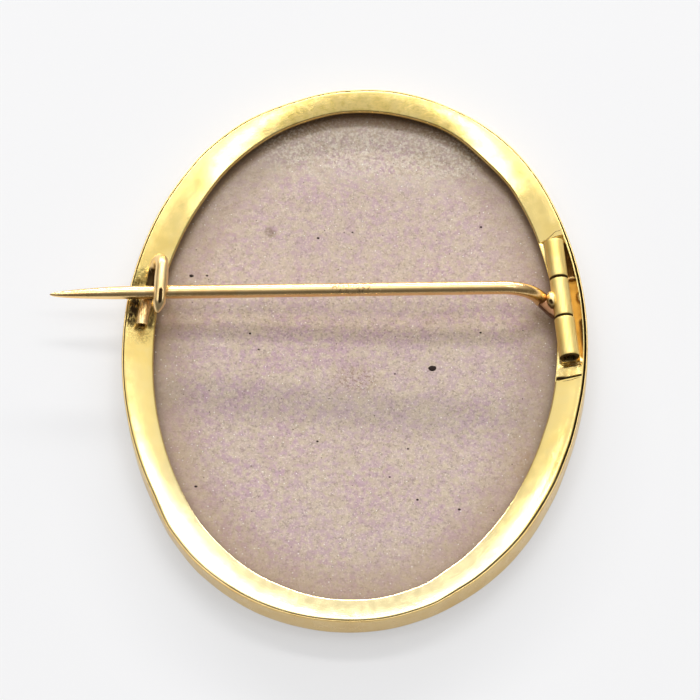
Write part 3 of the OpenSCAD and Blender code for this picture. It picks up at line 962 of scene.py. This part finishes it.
def seatHeight(shape, x, y):
    inMiddle = middleFrom < y < middleTo
    z = rimShape["reliefZ"] if inMiddle else rimShape["seatZ"]
    wave = noise.noise(Vector((x * 1.3, y * 0.8, 4.0))) + 0.5 * noise.noise(Vector((x * 3.1, y * 2.2, 9.0)))
    z += shape["ripple"] * wave * (shape["calmMiddle"] if inMiddle else 1.0)
    for atX, atY, wide, long, tall in shape["lumps"]:
        z += tall * math.exp(-((x - atX) / wide) ** 2 - ((y - atY) / long) ** 2)
    if y < shape["raisedFrom"]:  # level with the rim below the tube, up to the open joint
        depth = insideDepth(oval["outer"], fromMiddle(hingePoint(x, y)))
        share = smoothShare(min(1.0, (shape["raisedFrom"] - y) / (shape["raisedFrom"] - shape["raisedBy"])))
        z += (rimShape["height"] - rimDrop(rimShape, depth) - shape["belowRim"] + 0.03 * wave - z) * share
    fromGap = y - shape["gapFrom"] - shape["gapSlope"] * (x + 3.2)
    z -= shape["gapDeep"] * math.exp(-(fromGap / (0.075 + 0.015 * max(0.0, x + 1))) ** 4)
    if not inMiddle and abs(y) < tubeHalf + shape["pastTube"]:
        reach = max(0.0, abs(x) - shape["filletFrom"]) / shape["filletReach"]
        z += shape["fillet"] * math.exp(-reach * reach)
    return z


def makeSeat(shape):
    rows, columns = shape["rows"], shape["columns"]
    top, bottom = [], []
    for i in range(rows):
        y = shape["from"] + (shape["to"] - shape["from"]) * i / (rows - 1)
        base = hingePoint(shape["innerAcross"], y)
        side = (hingePoint(0, y) - base).normalized()
        inner = firstCrossing(oval["opening"], -shape["setBack"], base, side)
        outer = ovalCrossing(oval["outer"], shape["outerInset"], base, side)
        for j in range(columns):
            p = inner.lerp(outer, j / (columns - 1))
            local = hingeMatrix().inverted() @ p
            top.append((p.x, p.y, seatHeight(shape, local.x, local.y)))
            bottom.append((p.x, p.y, shape["base"]))
    shift = len(top)
    faces = []
    for i in range(rows - 1):
        for j in range(columns - 1):
            a = i * columns + j
            faces.append((a, a + 1, a + columns + 1, a + columns))
            faces.append((shift + a + columns, shift + a + columns + 1, shift + a + 1, shift + a))
    ring = list(range(columns))
    ring += [i * columns + columns - 1 for i in range(1, rows)]
    ring += [(rows - 1) * columns + j for j in range(columns - 2, -1, -1)]
    ring += [i * columns for i in range(rows - 2, 0, -1)]
    for a, b in zip(ring, ring[1:] + ring[:1]):
        faces.append((a, shift + a, shift + b, b))
    mesh = plainMesh("hingeSeat", [Vector(v) * mm for v in top + bottom], [], faces)
    return newPiece("hingeSeat", tidyMesh(mesh), finishes["seat"])


# Hinge tube and rivet
def knuckleMesh(name, low, high, seed, finish, extra):
    r = hinge["tubeR"] + extra
    bore = r - hinge["boreR"]
    section = [(0.15, 0, low), (0.08, 0, low + 0.02), (0.03, 0, low + 0.06), (0.0, 0, low + 0.14)]
    section += [(0.0, 0, y) for y in spread(low + 0.4, high - 0.4, max(3, int((high - low) / 0.4)))]
    section += [(0.0, 0, high - 0.14), (0.03, 0, high - 0.06), (0.08, 0, high - 0.02), (0.15, 0, high)]
    section += [(bore - 0.05, 0, high), (bore, 0, high - 0.05), (bore, 0, low + 0.05), (bore - 0.05, 0, low)]
    mesh = turned(name, section, {
        "Steps": hinge["tubeSteps"], **ovalSizes((2 * r, 2 * r), (0.2, 0.2)),
        "Roughen": 0.03, "Grain": 0.8, "Seed": seed}, finish)
    depths = []
    for vert in mesh.vertices:
        inBore = math.hypot(vert.co.x, vert.co.y) < hinge["boreR"] + 0.1
        depths.append(0.0 if inBore else min(vert.co.z - low, high - vert.co.z))
    keepValues(mesh, "fromEdge", depths)
    return mesh


def makeKnuckles():
    high = hinge["upperJoint"] + hinge["upperShift"]
    low = hinge["lowerJoint"] + hinge["lowerShift"]
    made = []
    for name, start, end, seed, extra in (
        ("upperKnuckle", high + gapHalf, tubeHalf, 1.0, 0.0),
        ("lowerKnuckle", -tubeHalf, low - gapHalf, 2.0, hinge["lowerExtra"]),
        ("middleKnuckle", low + gapHalf, high - gapHalf, 5.0, 0.0),
    ):
        mesh = knuckleMesh(name, start, end, seed, finishes["knuckle"], extra)
        made.append(newPiece(name, atHinge(mesh), finishes["knuckle"]))
    return made


def makeRivet():
    half = tubeHalf - hinge["rivetRecess"]
    r = hinge["rivetR"]
    section = [(0, 0.999, -half), (0.25, 0, -half + 0.02), (0.08, 0, -half + 0.08), (0, 0, -half + 0.2)]
    section += [(0, 0, y) for y in spread(-half + 0.8, half - 0.8, 9)]
    section += [(0, 0, half - 0.2), (0.08, 0, half - 0.08), (0.25, 0, half - 0.02), (0, 0.999, half)]
    mesh = turned("hingeRivet", section, {
        "Steps": hinge["rivetSteps"], **ovalSizes((2 * r, 2 * r)), "Roughen": 0.0, "Grain": 1.0,
        "Seed": 1.0}, finishes["rivet"], closed=False)
    return newPiece("rivetPin", atHinge(mesh), finishes["rivet"])


# Pin stem: straight wire that arches down to the middle knuckle
stem = {
    "radius": 0.68,
    "ball": Vector((22.901, 6.960, 3.6)),
    "lean": 3.9,
    "fall": 1.9,
    "archR": 4.0,
    "archRun": 4.75,
    "archHeight": 2.58,
    "footAngle": 16.0,
    "thinFrom": 36.6,
    "pointFall": 1.8,
    "bendAt": 42.6,
    "straightFrom": 7.0,
    "footSwell": 0.07,
    "worn": 0.02,
    # distance from the ball, radius
    "point": ((42.6, 0.66), (43.9, 0.635), (44.9, 0.59), (45.9, 0.54), (46.9, 0.48), (47.9, 0.41),
              (48.6, 0.35), (49.1, 0.30), (49.5, 0.24), (49.8, 0.17), (50.0, 0.10), (50.1, 0.04)),
}


def stemPoint(spec, s, z):
    lean = math.radians(spec["lean"])
    flat = spec["ball"].xy - s * Vector((math.cos(lean), math.sin(lean)))
    return (flat.x * mm, flat.y * mm, z * mm)


def makeStem(spec):
    path, thick = [], []
    fall = math.radians(spec["fall"])
    top = spec["ball"].z + spec["archHeight"]
    for i in range(15):
        turn = math.radians(90 - spec["footAngle"]) * (1 - i / 14) - fall * (i / 14)
        s = spec["archRun"] - spec["archR"] * math.sin(turn)
        z = top - spec["archR"] * (1 - math.cos(turn))
        path.append(stemPoint(spec, s, z))
        thick.append((spec["radius"] + spec["footSwell"] * max(0.0, 1 - i / 7)) * mm)
    straight = top - spec["archR"] * (1 - math.cos(fall))
    start = spec["archRun"] + spec["archR"] * math.sin(fall)
    for s in spread(spec["straightFrom"], spec["thinFrom"], 40):
        path.append(stemPoint(spec, s, straight - (s - start) * math.tan(fall)))
        worn = spec["worn"] * noise.noise(Vector((s * 0.6, 3.0, 1.0)))
        thick.append((spec["radius"] + worn) * mm)
    bendZ = straight - (spec["bendAt"] - start) * math.tan(fall)
    for s, r in spec["point"]:
        slope = math.tan(fall + math.radians(spec["pointFall"]))
        path.append(stemPoint(spec, s, bendZ - (s - spec["bendAt"]) * slope))
        thick.append(r * mm)
    mesh = drawnWire("pinStem", path, thick, finishes["pin"], 40)
    return newPiece("pinWire", tidyMesh(mesh), finishes["pin"])


# Solder bead beside the middle knuckle, with a small pit
beadShape = {
    "size": (0.54, 0.92, 0.60),  # half its size across, along and above the hinge
    "place": (-0.98, -0.05, 0.26),
    "uneven": 0.10,
    "pitAim": (-0.30, -0.42, 0.85),
    "pitWide": 0.26,
    "pitDeep": 0.22,
}


def makePinBead(shape):
    work = bmesh.new()
    bmesh.ops.create_icosphere(work, subdivisions=4, radius=1.0)
    for vert in work.verts:
        p = vert.co.copy()
        swell = 1 + shape["uneven"] * noise.noise(p * 1.6 + Vector((3, 1, 7)))
        toPit = (p - Vector(shape["pitAim"]).normalized()).length
        swell -= shape["pitDeep"] * math.exp(-(toPit / shape["pitWide"]) ** 2)
        vert.co = Vector([part * half for part, half in zip(p, shape["size"])]) * swell
    mesh = meshFrom(work, bpy.data.meshes.new("pinBead"))
    mesh.transform(Matrix.Translation(shape["place"]))
    return newPiece("pinBead", atHinge(mesh, lathe=False), finishes["bead"])


# Web of solder under the stem's foot, down along the middle knuckle; its near-black gold is painted shade
footWeb = {
    "corners": ((-2.75, 0.30), (-2.35, -0.50), (-1.65, -1.30), (-1.05, -2.0), (-0.72, -1.95), (-0.72, 0.55)),
    "low": -0.62,
    "high": 0.28,
    "roundness": 0.16,
}


def makeFootWeb(spec):
    outline = [Vector(c) for c in spec["corners"]]
    middle = sum(outline, Vector((0, 0))) / len(outline)
    low, high, roundness = spec["low"], spec["high"], spec["roundness"]
    levels = ((low, 0.80), (low + roundness, 1.0), (high - roundness, 1.0), (high, 0.72))
    verts, faces = [], []
    count = len(outline)
    for z, size in levels:
        for p in outline:
            q = middle + (p - middle) * size
            verts.append((q.x, q.y, z))
    for k in range(len(levels) - 1):
        for i in range(count):
            j = (i + 1) % count
            faces.append((k * count + i, k * count + j, (k + 1) * count + j, (k + 1) * count + i))
    faces.append(tuple(range(count)))
    faces.append(tuple(range((len(levels) - 1) * count, len(levels) * count)))
    host = addObject("footWebBlank", closedMesh("footWeb", verts, faces))
    smoother = host.modifiers.new("round", "SUBSURF")
    smoother.levels = smoother.render_levels = 3
    rounded = baked(host)
    for vert in rounded.vertices:
        vert.co += vert.co.normalized() * 0.05 * noise.noise(vert.co * 2.4)
    return newPiece("footWeb", atHinge(rounded, lathe=False), finishes["web"])


# Fine threads of solder that ran out above the upper step and under the tube's lower end: points across and
# along the hinge
solderThreads = {
    "radius": 0.03,
    "lift": 0.008,
    "sway": 0.05,
    "paths": (
        ((-1.1, 6.88), (-0.24, 7.0), (0.29, 7.07), (0.9, 7.18)),
        ((-0.62, 6.98), (-0.19, 7.24), (0.36, 7.59), (0.80, 7.62), (0.92, 7.50)),
        ((-0.24, -6.96), (0.11, -7.22), (0.6, -7.42), (1.12, -7.34)),
        ((-0.09, -6.86), (0.54, -6.98), (1.17, -6.99)),
        ((-0.96, -8.65), (-0.07, -8.7), (0.72, -8.60)),
    ),
}


def makeThreads(spec, grounds):
    surfaces = []
    for ground in grounds:
        work = workOn(ground.data)
        surfaces.append(BVHTree.FromBMesh(work))
        work.free()
    joined = bmesh.new()
    for line in spec["paths"]:
        dense = []
        for a, b in zip(line, line[1:]):
            for k in range(6):
                dense.append(Vector(a).lerp(Vector(b), k / 6))
        dense.append(Vector(line[-1]))
        path, thick = [], []
        for i, flat in enumerate(dense):
            sway = spec["sway"] * noise.noise(Vector((flat.x * 2.3, flat.y * 2.3, 5.0)))
            over = hingePoint(flat.x, flat.y + sway, aboveAll) * mm
            hits = [tree.ray_cast(over, -upwards)[0] for tree in surfaces]
            top = max([hit.z for hit in hits if hit] or [rimShape["height"] * mm])
            path.append((over.x, over.y, top + spec["lift"] * mm))
            ends = min(1.0, 0.35 + min(i, len(dense) - 1 - i) / 4)
            thick.append(spec["radius"] * ends * mm)
        joined.from_mesh(drawnWire("solderThread", path, thick, finishes["rivet"], 8))
    mesh = meshFrom(joined, bpy.data.meshes.new("solderThreads"))
    return newPiece("solderThreads", tidyMesh(mesh), finishes["rivet"])


# Catch: a rod soldered along the rim and bent back over the stem
catchShape = {
    "rodX": -17.687,
    "rodZ": 3.63,
    "rodEnd": 1.15,
    "bendY": 6.2,
    "rodLean": 0.75,
    "rodR": 0.56,
    "limbR": 0.65,
    "offset": 1.71,
    "limbZ": 6.44,
    "limbLength": 3.3,
    "tipTurn": 22.0,
    "slitFrom": 1.95,
    "slitTo": 3.95,
    "slitX": -15.88,
    "slitDeep": 0.16,
    "slitWide": 0.16,
    "squareLong": 2.4,
    "squareFade": 1.2,
    "squareness": 0.75,
    # distance along the tip, radius
    "tipPoints": ((0.15, 0.65), (0.35, 0.62), (0.55, 0.57), (0.75, 0.49), (0.95, 0.40), (1.12, 0.31),
                  (1.26, 0.22), (1.34, 0.15)),
}


def makeCatch(spec):
    path, thick = [], []
    for y in spread(spec["rodEnd"], spec["bendY"] - 0.3, 22):
        share = (y - spec["rodEnd"]) / (spec["bendY"] - spec["rodEnd"])
        path.append(Vector((spec["rodX"] + spec["rodLean"] * share ** 1.5, y, spec["rodZ"])))
        thick.append(spec["rodR"])
    rise = spec["limbZ"] - spec["rodZ"]
    offset = spec["offset"] - spec["rodLean"]
    bendR = math.hypot(offset, rise) / 2
    across = Vector((offset, 0, rise)).normalized()
    centre = Vector((spec["rodX"] + spec["rodLean"], spec["bendY"], spec["rodZ"])) + across * bendR
    for i in range(1, 24):
        a = math.pi * i / 24
        path.append(centre - across * bendR * math.cos(a) + Vector((0, 1, 0)) * bendR * math.sin(a))
        thick.append(spec["rodR"] + (spec["limbR"] - spec["rodR"]) * min(1.0, i / 10))
    end = centre + across * bendR
    for d in spread(0.05, spec["limbLength"], 32):
        path.append(end - Vector((0, d, 0)))
        thick.append(spec["limbR"] * (1 + 0.06 * math.sin(d * 1.4)))
    turn = math.radians(spec["tipTurn"])
    aim = Vector((-math.sin(turn) * across.x, -math.cos(turn), -math.sin(turn) * across.z))
    tipStart = end - Vector((0, spec["limbLength"], 0))
    for d, r in spec["tipPoints"]:
        path.append(tipStart + aim * d)
        thick.append(r)
    mesh = drawnWire("catch", [tuple(p * mm) for p in path], [r * mm for r in thick], finishes["catch"], 44)
    for vert in mesh.vertices:
        p = vert.co / mm
        squareTo = spec["rodEnd"] + spec["squareLong"]
        if p.y < squareTo and p.z < 4.6 and p.x < spec["rodX"] + 0.9:  # hammered square
            off = Vector((p.x - spec["rodX"], p.z - spec["rodZ"]))
            share = clamped((squareTo - p.y) / spec["squareFade"])
            if off.length > 0.05:
                power = (abs(off.x / off.length) ** 4 + abs(off.y / off.length) ** 4) ** -0.25
                off *= 1 + (power - 1) * spec["squareness"] * share
            p.x, p.z = spec["rodX"] + off.x, spec["rodZ"] + off.y
            p.y += 0.06 * noise.noise(Vector((p.x * 2, p.z * 2, 1)))
        if p.z > end.z - 0.1 and spec["slitFrom"] < p.y < spec["slitTo"]:  # the worn slit along the top
            share = math.sin(math.pi * (p.y - spec["slitFrom"]) / (spec["slitTo"] - spec["slitFrom"])) ** 0.5
            p.z -= spec["slitDeep"] * share * math.exp(-((p.x - spec["slitX"]) / spec["slitWide"]) ** 2)
        if p.y < tipStart.y + 0.1 and p.x > spec["rodX"] + 0.9:  # filed bevel
            p.z -= 0.12 * max(0.0, p.x - end.x) * min(1.0, (tipStart.y + 0.1 - p.y) / 0.6)
        vert.co = p * mm
    piece = newPiece("catchHook", tidyMesh(mesh), finishes["catch"])
    x, y, z = spec["rodX"], spec["rodEnd"], spec["rodZ"]
    outline = [(x - 0.36, y - 0.3), (x + 0.38, y - 0.3), (x + 0.22, y + 0.85), (x - 0.20, y + 0.85)]
    hollow = tidyMesh(cut(piece, [prism("stubCutter", outline, z - 0.30, z + 0.38)]))
    return newPiece("catchHook", hollow, finishes["catch"])


# Plaque
plaqueShape = {
    "gap": 0.45,
    "back": {"low": 0.90, "thick": 0.55, "thinEdge": 0.50, "dome": 1 / 2500},
    "front": {"low": 0.25, "thick": 0.32, "thinEdge": 0.20, "dome": 1 / 830},
    "steps": 300,
    "rings": 64,
}


def makePlaque(name, shape, side, seed, finish):
    low, thick, thin, dome = [shape[side][part] for part in ("low", "thick", "thinEdge", "dome")]
    section = [(0.0, 0, low + 0.01), (0.0, 0, low + thick - thin - 0.01)]
    shares = spread(0.004, 1.0, shape["rings"])
    section += [(0.0, t, low + thick - thin * (1 - t) ** 6) for t in shares]
    section += [(0.0, t, low) for t in reversed(shares)]
    mesh = turned(name, section, {
        "Steps": shape["steps"], **ovalSizes(shrunk(oval["outer"], 2 * shape["gap"])),
        "Dome": dome, "Roughen": 0.03, "Grain": 0.35, "Seed": seed}, finish)
    return bentPiece(name, atOval(mesh), finish, oval["opening"], "fromRim")


# Node group that scatters small specks over a face, each a low icosphere sunk into the glaze
def speckTree():
    tree, ask = newTree("enamelSpecks", {
        "Density": 1.0, "Least Gap": 0.1, "Smallest": 0.02, "Largest": 0.05, "Sink": 0.01, "Seed": 1})
    spots = put(tree, "GeometryNodeDistributePointsOnFaces", {
        "Mesh": ask["Geometry"], "Distance Min": ask["Least Gap"], "Density Max": ask["Density"],
        "Seed": ask["Seed"]}, "Points", distribute_method="POISSON")
    size = put(tree, "FunctionNodeRandomValue", {
        2: ask["Smallest"], 3: ask["Largest"], "Seed": ask["Seed"]}, 1, data_type="FLOAT")
    spin = put(tree, "FunctionNodeRandomValue", {1: (0.2, 0.2, math.tau), "Seed": ask["Seed"] + 9.0},
               data_type="FLOAT_VECTOR")
    bead = put(tree, "GeometryNodeMeshIcoSphere", {"Radius": 1.0, "Subdivisions": 1}, "Mesh")
    down = put(tree, "ShaderNodeCombineXYZ", {"Z": ask["Sink"] * -1.0})
    sunk = put(tree, "GeometryNodeSetPosition", {"Geometry": spots, "Offset": down})
    flat = put(tree, "ShaderNodeCombineXYZ", {"X": size, "Y": size, "Z": size * 0.35})
    copies = put(tree, "GeometryNodeInstanceOnPoints", {
        "Points": sunk, "Instance": bead, "Rotation": spin, "Scale": flat})
    return endTree(tree, copies, ask["Finish"])


# Sizes here are metres and the density is for a square metre, because they go straight to the node group
specks = {
    "glints": {"Density": 0.85e6, "Least Gap": 0.0004, "Smallest": 0.000022, "Largest": 0.000068,
               "Sink": 0.000008, "Seed": 4},
    "pits": {"Density": 0.10e6, "Least Gap": 0.0015, "Smallest": 0.00003, "Largest": 0.00008,
             "Sink": 0.00001, "Seed": 12},
}
speckMargin = 0.15  # no specks nearer the rim than this
# The larger pits: place on the back, and radius
bigPits = (
    (11.62, -0.59, 0.36),
    (-13.18, 7.91, 0.20),
    (-11.63, 8.03, 0.12),
    (-0.78, 12.91, 0.13),
    (2.62, 13.78, 0.10),
    (15.46, 15.24, 0.12),
    (16.18, 3.64, 0.12),
    (-6.88, 1.98, 0.12),
    (-5.89, 0.30, 0.10),
    (0.67, -9.33, 0.12),
    (9.76, -9.54, 0.10),
    (8.15, -12.74, 0.10),
    (11.07, -15.02, 0.13),
    (15.30, -15.79, 0.13),
    (-11.08, -15.06, 0.14),
    (7.91, -1.44, 0.10),
)


def makeSpecks(name, plaque, spec, finish, extra=()):
    top = workOn(plaque.data)
    hidden = []
    for f in top.faces:
        middle = f.calc_center_median() / mm
        inside = insideDepth(oval["opening"], fromMiddle(middle))
        if f.normal.z < 0.5 or inside < speckMargin:
            hidden.append(f)
    bmesh.ops.delete(top, geom=hidden, context="FACES")
    tree = BVHTree.FromBMesh(top)
    host = addObject(name + "Ground", meshFrom(top, bpy.data.meshes.new(name + "Ground")))
    mesh = grownMesh(host, speckGrower, {**spec, "Finish": finish})
    work = workOn(mesh)
    for atX, atY, r in extra:
        hit = tree.ray_cast(Vector((atX, atY, aboveAll)) * mm, -upwards)[0]
        made = bmesh.ops.create_icosphere(work, subdivisions=3, radius=1.0)
        for vert in made["verts"]:
            wobble = 1 + 0.16 * noise.noise(vert.co * 1.7 + Vector((atX, atY, 0)))
            x, y, z = vert.co
            vert.co = Vector((x * r * 1.15, y * r * 0.85, z * r * 0.14)) * wobble * mm
            vert.co += hit - Vector((0, 0, 0.004 * mm))
    return newPiece(name, tidyMesh(meshFrom(work, mesh)), finish)


speckGrower = speckTree()
bezelWall = makeBezel(bezelShape)
backRim = makeRim(rimShape)
hingeSeat = makeSeat(seatShape)
upperKnuckle, lowerKnuckle, middleKnuckle = makeKnuckles()
rivetPin = makeRivet()
pinWire = makeStem(stem)
pinBead = makePinBead(beadShape)
footPiece = makeFootWeb(footWeb)
threadPiece = makeThreads(solderThreads, (backRim, hingeSeat))
catchHook = makeCatch(catchShape)
backEnamel = makePlaque("backEnamel", plaqueShape, "back", 11.0, finishes["back"])
frontEnamel = makePlaque("frontEnamel", plaqueShape, "front", 17.0, finishes["front"])
enamelGlints = makeSpecks("enamelGlints", backEnamel, specks["glints"], finishes["glint"])
enamelPits = makeSpecks("enamelPits", backEnamel, specks["pits"], finishes["pit"], bigPits)
print("brooch: pieces made")

# Camera: the photograph's angle, nearly square on the back and leaning to the pin's long side
camera = {
    "target": Vector((3.308, -0.083, 3.6)),
    "turn": 3.9,
    "offVertical": 24.0,
    "distance": 1.5,
    "lens": 771.0,
}


def makeCamera(spec):
    turn = math.radians(spec["turn"])
    tilt = math.radians(spec["offVertical"])
    right = Vector((math.cos(turn), math.sin(turn), 0))
    back = Vector((math.sin(turn) * math.sin(tilt), -math.cos(turn) * math.sin(tilt), math.cos(tilt)))
    up = back.cross(right)
    data = bpy.data.cameras.new("studioCamera")
    data.lens = spec["lens"]
    data.sensor_width = 36.0
    data.clip_start = 0.05
    data.clip_end = 20.0
    made = addObject("studioCamera", data)
    turnMatrix = Matrix((right, up, back)).transposed().to_4x4()
    made.matrix_world = Matrix.Translation(spec["target"] * mm + back * spec["distance"]) @ turnMatrix
    bpy.context.scene.camera = made


# Studio: softboxes stand round the brooch. compass: degrees from the photograph's top towards its right;
# height: degrees above the table; spread: how wide and high a box looks from the brooch, in degrees
softboxes = (
    {"name": "upperStrip", "compass": 2, "height": 53, "spread": (40, 7), "power": 3.9},
    {"name": "zenithBox", "compass": 0, "height": 81, "spread": (40, 15), "power": 0.9},
    {"name": "lowerStrip", "compass": 0, "height": 20.5, "spread": (70, 4), "power": 11.5},
    {"name": "eastStrip", "compass": 86, "height": 69, "spread": (5, 20), "power": 0.75},
    {"name": "westStrip", "compass": 274, "height": 69, "spread": (5, 20), "power": 0.75},
    {"name": "northEastBox", "compass": 56, "height": 47, "spread": (26, 20), "power": 0.12},
    {"name": "northWestBox", "compass": 304, "height": 47, "spread": (26, 20), "power": 0.12},
)
boxDistance = 1.2
room = {
    "facing": (0.0, 0.5, 0.866),  # the side of the room that is brightest
    "dark": (0.13, 0.13, 0.13),
    "light": (0.92, 0.92, 0.92),
    "shown": (0.94, 0.94, 0.945),
}


def makeLights():
    north = math.radians(camera["turn"])
    centre = camera["target"] * mm
    for box in softboxes:
        a = math.radians(box["compass"]) - north
        e = math.radians(box["height"])
        aim = Vector((math.sin(a) * math.cos(e), math.cos(a) * math.cos(e), math.sin(e)))
        data = bpy.data.lights.new(box["name"], "AREA")
        data.shape = "RECTANGLE"
        data.size, data.size_y = [2 * boxDistance * math.tan(math.radians(w) / 2) for w in box["spread"]]
        data.energy = box["power"]
        made = addObject(box["name"], data)
        made.rotation_mode = "QUATERNION"
        made.location = centre + aim * boxDistance
        made.rotation_quaternion = aim.to_track_quat("Z", "Y")
        made.visible_camera = False


def makeRoom():
    world = bpy.data.worlds.new("room")
    bpy.context.scene.world = world
    world.use_nodes = True
    tree = world.node_tree
    place = put(tree, "ShaderNodeTexCoord", out="Generated")
    toward = vecCalc("DOT_PRODUCT", place, room["facing"], out="Value")
    tone = tint(mapRange(toward, 0.25, 1.1), room["dark"], room["light"])
    seen = put(tree, "ShaderNodeLightPath", out="Is Camera Ray")
    feed(tree.nodes["Background"], {"Color": tint(seen, tone, room["shown"])})


# The pale table; it glows evenly, a painted light that lifts the shadows round the brooch
def makeFloor():
    made, where = newFinish("paleTable")
    tone = tint(patterned(where, 0.02, 2.0), (0.425, 0.425, 0.43), (0.44, 0.44, 0.44))
    endFinish(made, {
        "Base Color": tone, "Emission Color": (0.455, 0.455, 0.46, 1.0), "Emission Strength": 1.0,
        "Roughness": 0.9, "Specular IOR Level": 0.1})
    work = bmesh.new()
    bmesh.ops.create_grid(work, x_segments=8, y_segments=8, size=3.0)
    newPiece("studioFloor", meshFrom(work, bpy.data.meshes.new("studioFloor")), made)


makeCamera(camera)
makeLights()
makeRoom()
makeFloor()
bpy.context.scene.view_settings.view_transform = "Standard"
print("brooch: studio set")

for piece, body, slot, nodes in (
    (bezelWall, "frame", "frame_gold", ["bezel"]),
    (backRim, "frame", "frame_gold", ["back_rim"]),
    (hingeSeat, "frame", "frame_gold", ["back_rim"]),
    (upperKnuckle, "frame", "frame_gold", ["back_rim"]),
    (lowerKnuckle, "frame", "frame_gold", ["back_rim"]),
    (catchHook, "frame", "frame_gold", ["back_rim"]),
    (rivetPin, "frame", "pin_gold", ["hinge_rivet"]),
    (middleKnuckle, "pin", "frame_gold", ["pin_stem"]),
    (pinWire, "pin", "pin_gold", ["pin_stem"]),
    (pinBead, "pin", "pin_gold", ["pin_stem"]),
    (footPiece, "pin", "pin_gold", ["pin_stem"]),
    (threadPiece, "frame", "frame_gold", ["back_rim"]),
    (backEnamel, "frame", "back_enamel", ["counter_enamel"]),
    (enamelGlints, "frame", "back_enamel", ["counter_enamel"]),
    (enamelPits, "frame", "back_enamel", ["counter_enamel"]),
    (frontEnamel, "frame", "front_enamel", ["painted_enamel"]),
):
    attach(piece, body)
    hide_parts(*nodes)
